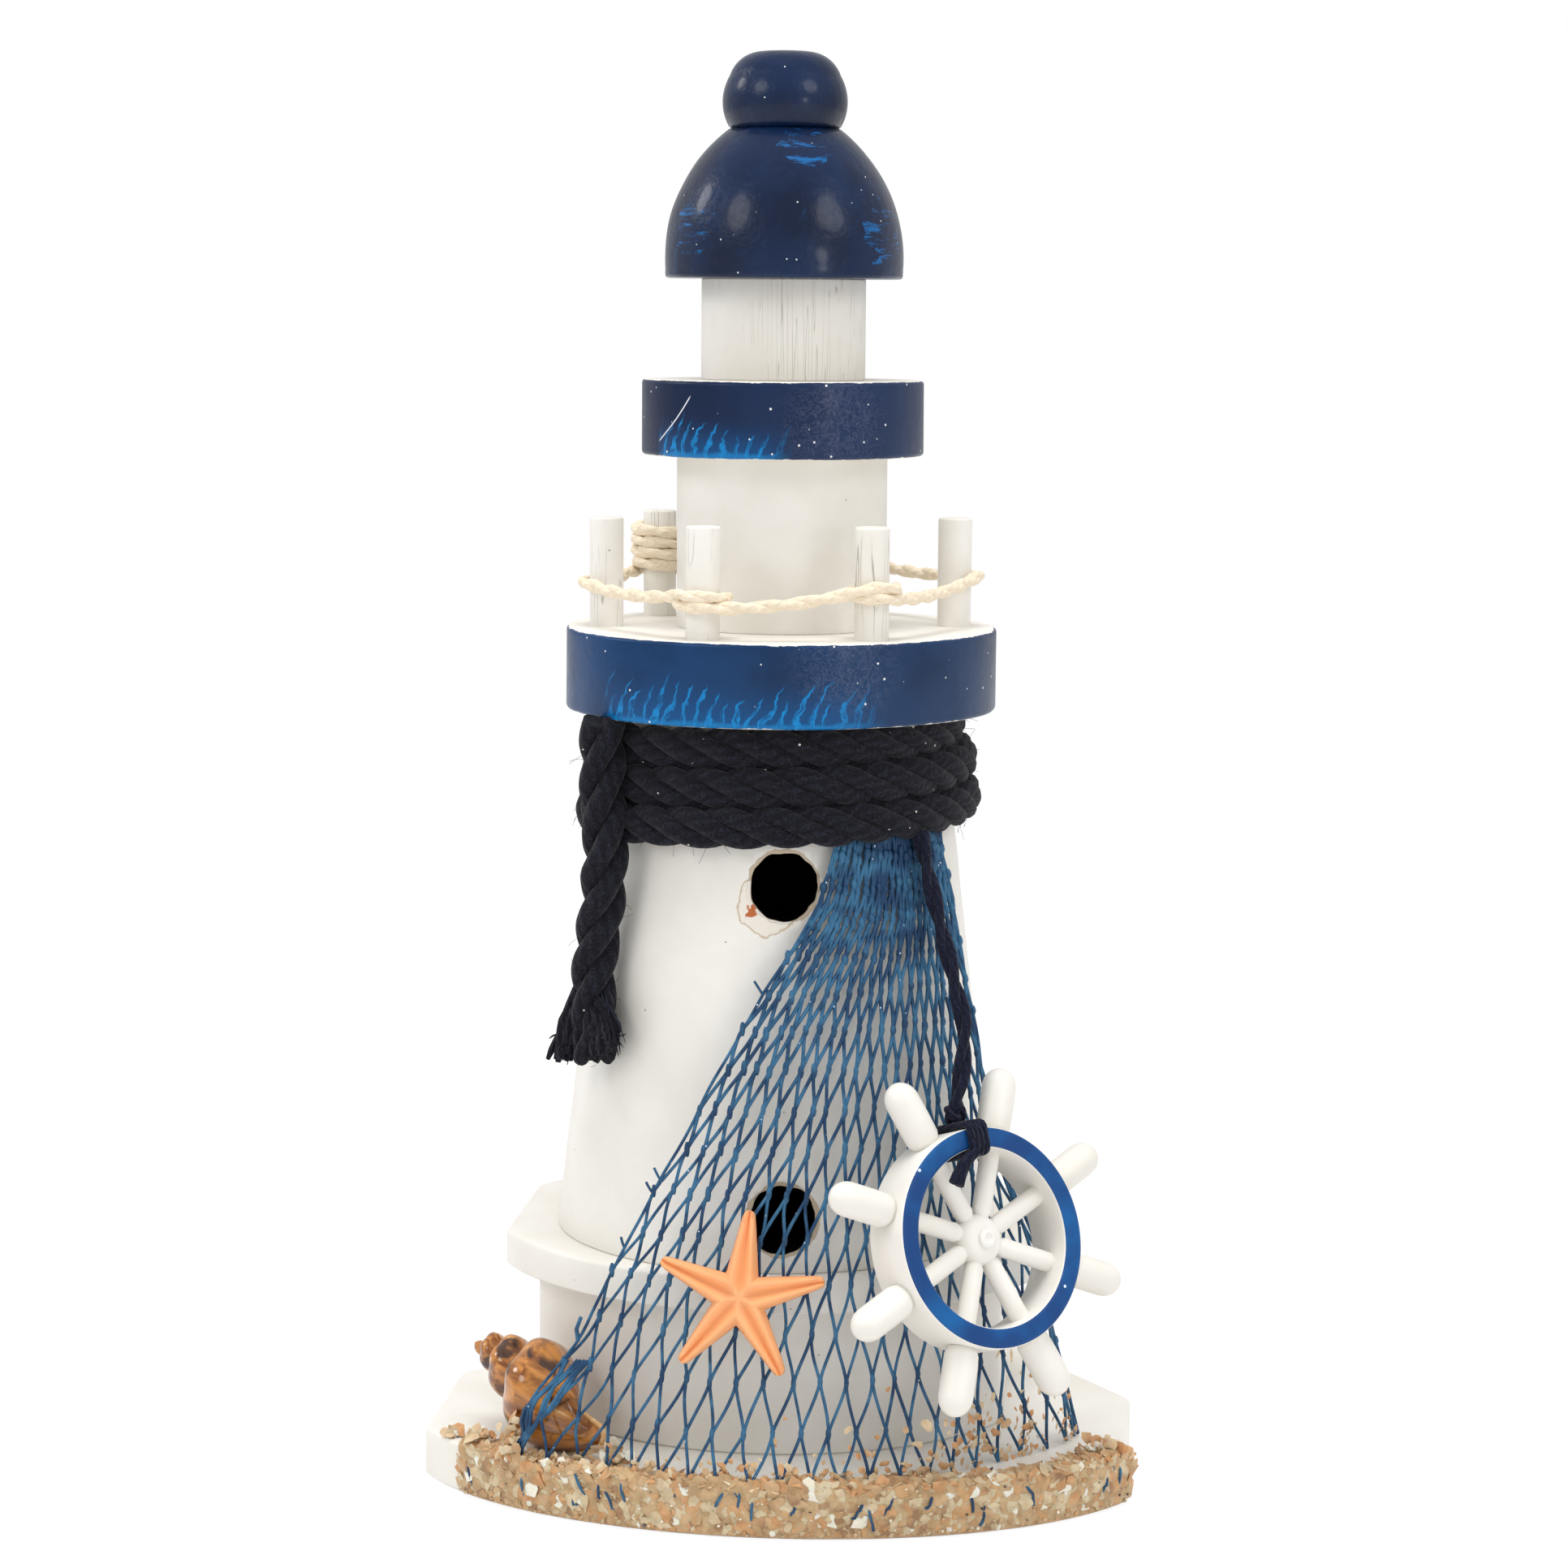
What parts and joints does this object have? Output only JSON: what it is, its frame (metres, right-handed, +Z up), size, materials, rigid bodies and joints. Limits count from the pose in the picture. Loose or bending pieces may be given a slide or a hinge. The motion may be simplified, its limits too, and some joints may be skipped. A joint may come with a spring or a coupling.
{
  "type": "lighthouse figurine",
  "caption": "Painted wooden lighthouse ornament on a bowed base, with rope rail, draped net, hanging ship's wheel, starfish and shell.",
  "frame": {"origin": "on the tower's axis at the underside of the base board", "axes": "+Z up the tower, -Y towards the front of the base, +X to the right seen from the front"},
  "size_m": [0.1263, 0.116, 0.254],
  "materials": {
    "white_painted_wood": "matt paint, lightly worn",
    "navy_painted_wood": "glossy crinkled paint with blue dry brushing",
    "white_turned_wood": "satin paint",
    "blue_painted_wood": "satin paint on the face, white wall",
    "bare_wood": "unfinished",
    "screw_steel": "plain",
    "pin_paint": "satin paint",
    "cream_cord": "twisted cotton",
    "navy_rope": "twisted, slightly hairy",
    "blue_twine": "knotted twine",
    "orange_resin": "matt cast resin",
    "shell": "glossy natural shell",
    "crushed_shell": "loose grains set in glue"
  },
  "bodies": {
    "lighthouse": {"base_board": "white_painted_wood", "base_block": "white_painted_wood", "platform_board": "white_painted_wood", "tower_body": "white_painted_wood", "watch_room": "white_painted_wood", "lantern_room": "white_painted_wood", "finial_knob": "navy_painted_wood", "lower_gallery": "navy_painted_wood", "upper_gallery": "navy_painted_wood", "dome_roof": "navy_painted_wood", "lower_dowel": "bare_wood", "gallery_dowel": "bare_wood", "upper_dowel": "bare_wood", "base_screws": "screw_steel", "railing_post_1": "white_turned_wood", "railing_post_2": "white_turned_wood", "railing_post_3": "white_turned_wood", "railing_post_4": "white_turned_wood", "railing_post_5": "white_turned_wood", "railing_post_6": "white_turned_wood", "railing_cord": "cream_cord", "rope_wrap": "navy_rope", "rope_tail": "navy_rope", "fishing_net": "blue_twine", "starfish": "orange_resin", "seashell": "shell", "sand_strip": "crushed_shell"},
    "wheel_hanger": {"wheel_cord": "navy_rope"},
    "wheel": {"wheel_rim": "blue_painted_wood", "wheel_hub": "white_turned_wood", "hub_pin": "pin_paint", "wheel_loop": "navy_rope", "wheel_peg_1": "white_turned_wood", "wheel_peg_2": "white_turned_wood", "wheel_peg_3": "white_turned_wood", "wheel_peg_4": "white_turned_wood", "wheel_peg_5": "white_turned_wood", "wheel_peg_6": "white_turned_wood", "wheel_peg_7": "white_turned_wood", "wheel_peg_8": "white_turned_wood"}
  },
  "joints": [
    {"name": "hanger_swing", "type": "hinge", "parent": "lighthouse", "child": "wheel_hanger", "pos_m": [0.02718, -0.02322, 0.11802], "axis": [0.6239, -0.7178, 0.309], "range_deg": [-25, 25]},
    {"name": "wheel_tip", "type": "hinge", "parent": "wheel_hanger", "child": "wheel", "pos_m": [0.03467, -0.03836, 0.07161], "axis": [-0.7547, -0.6561, 0], "range_deg": [0, 60]}
  ]
}
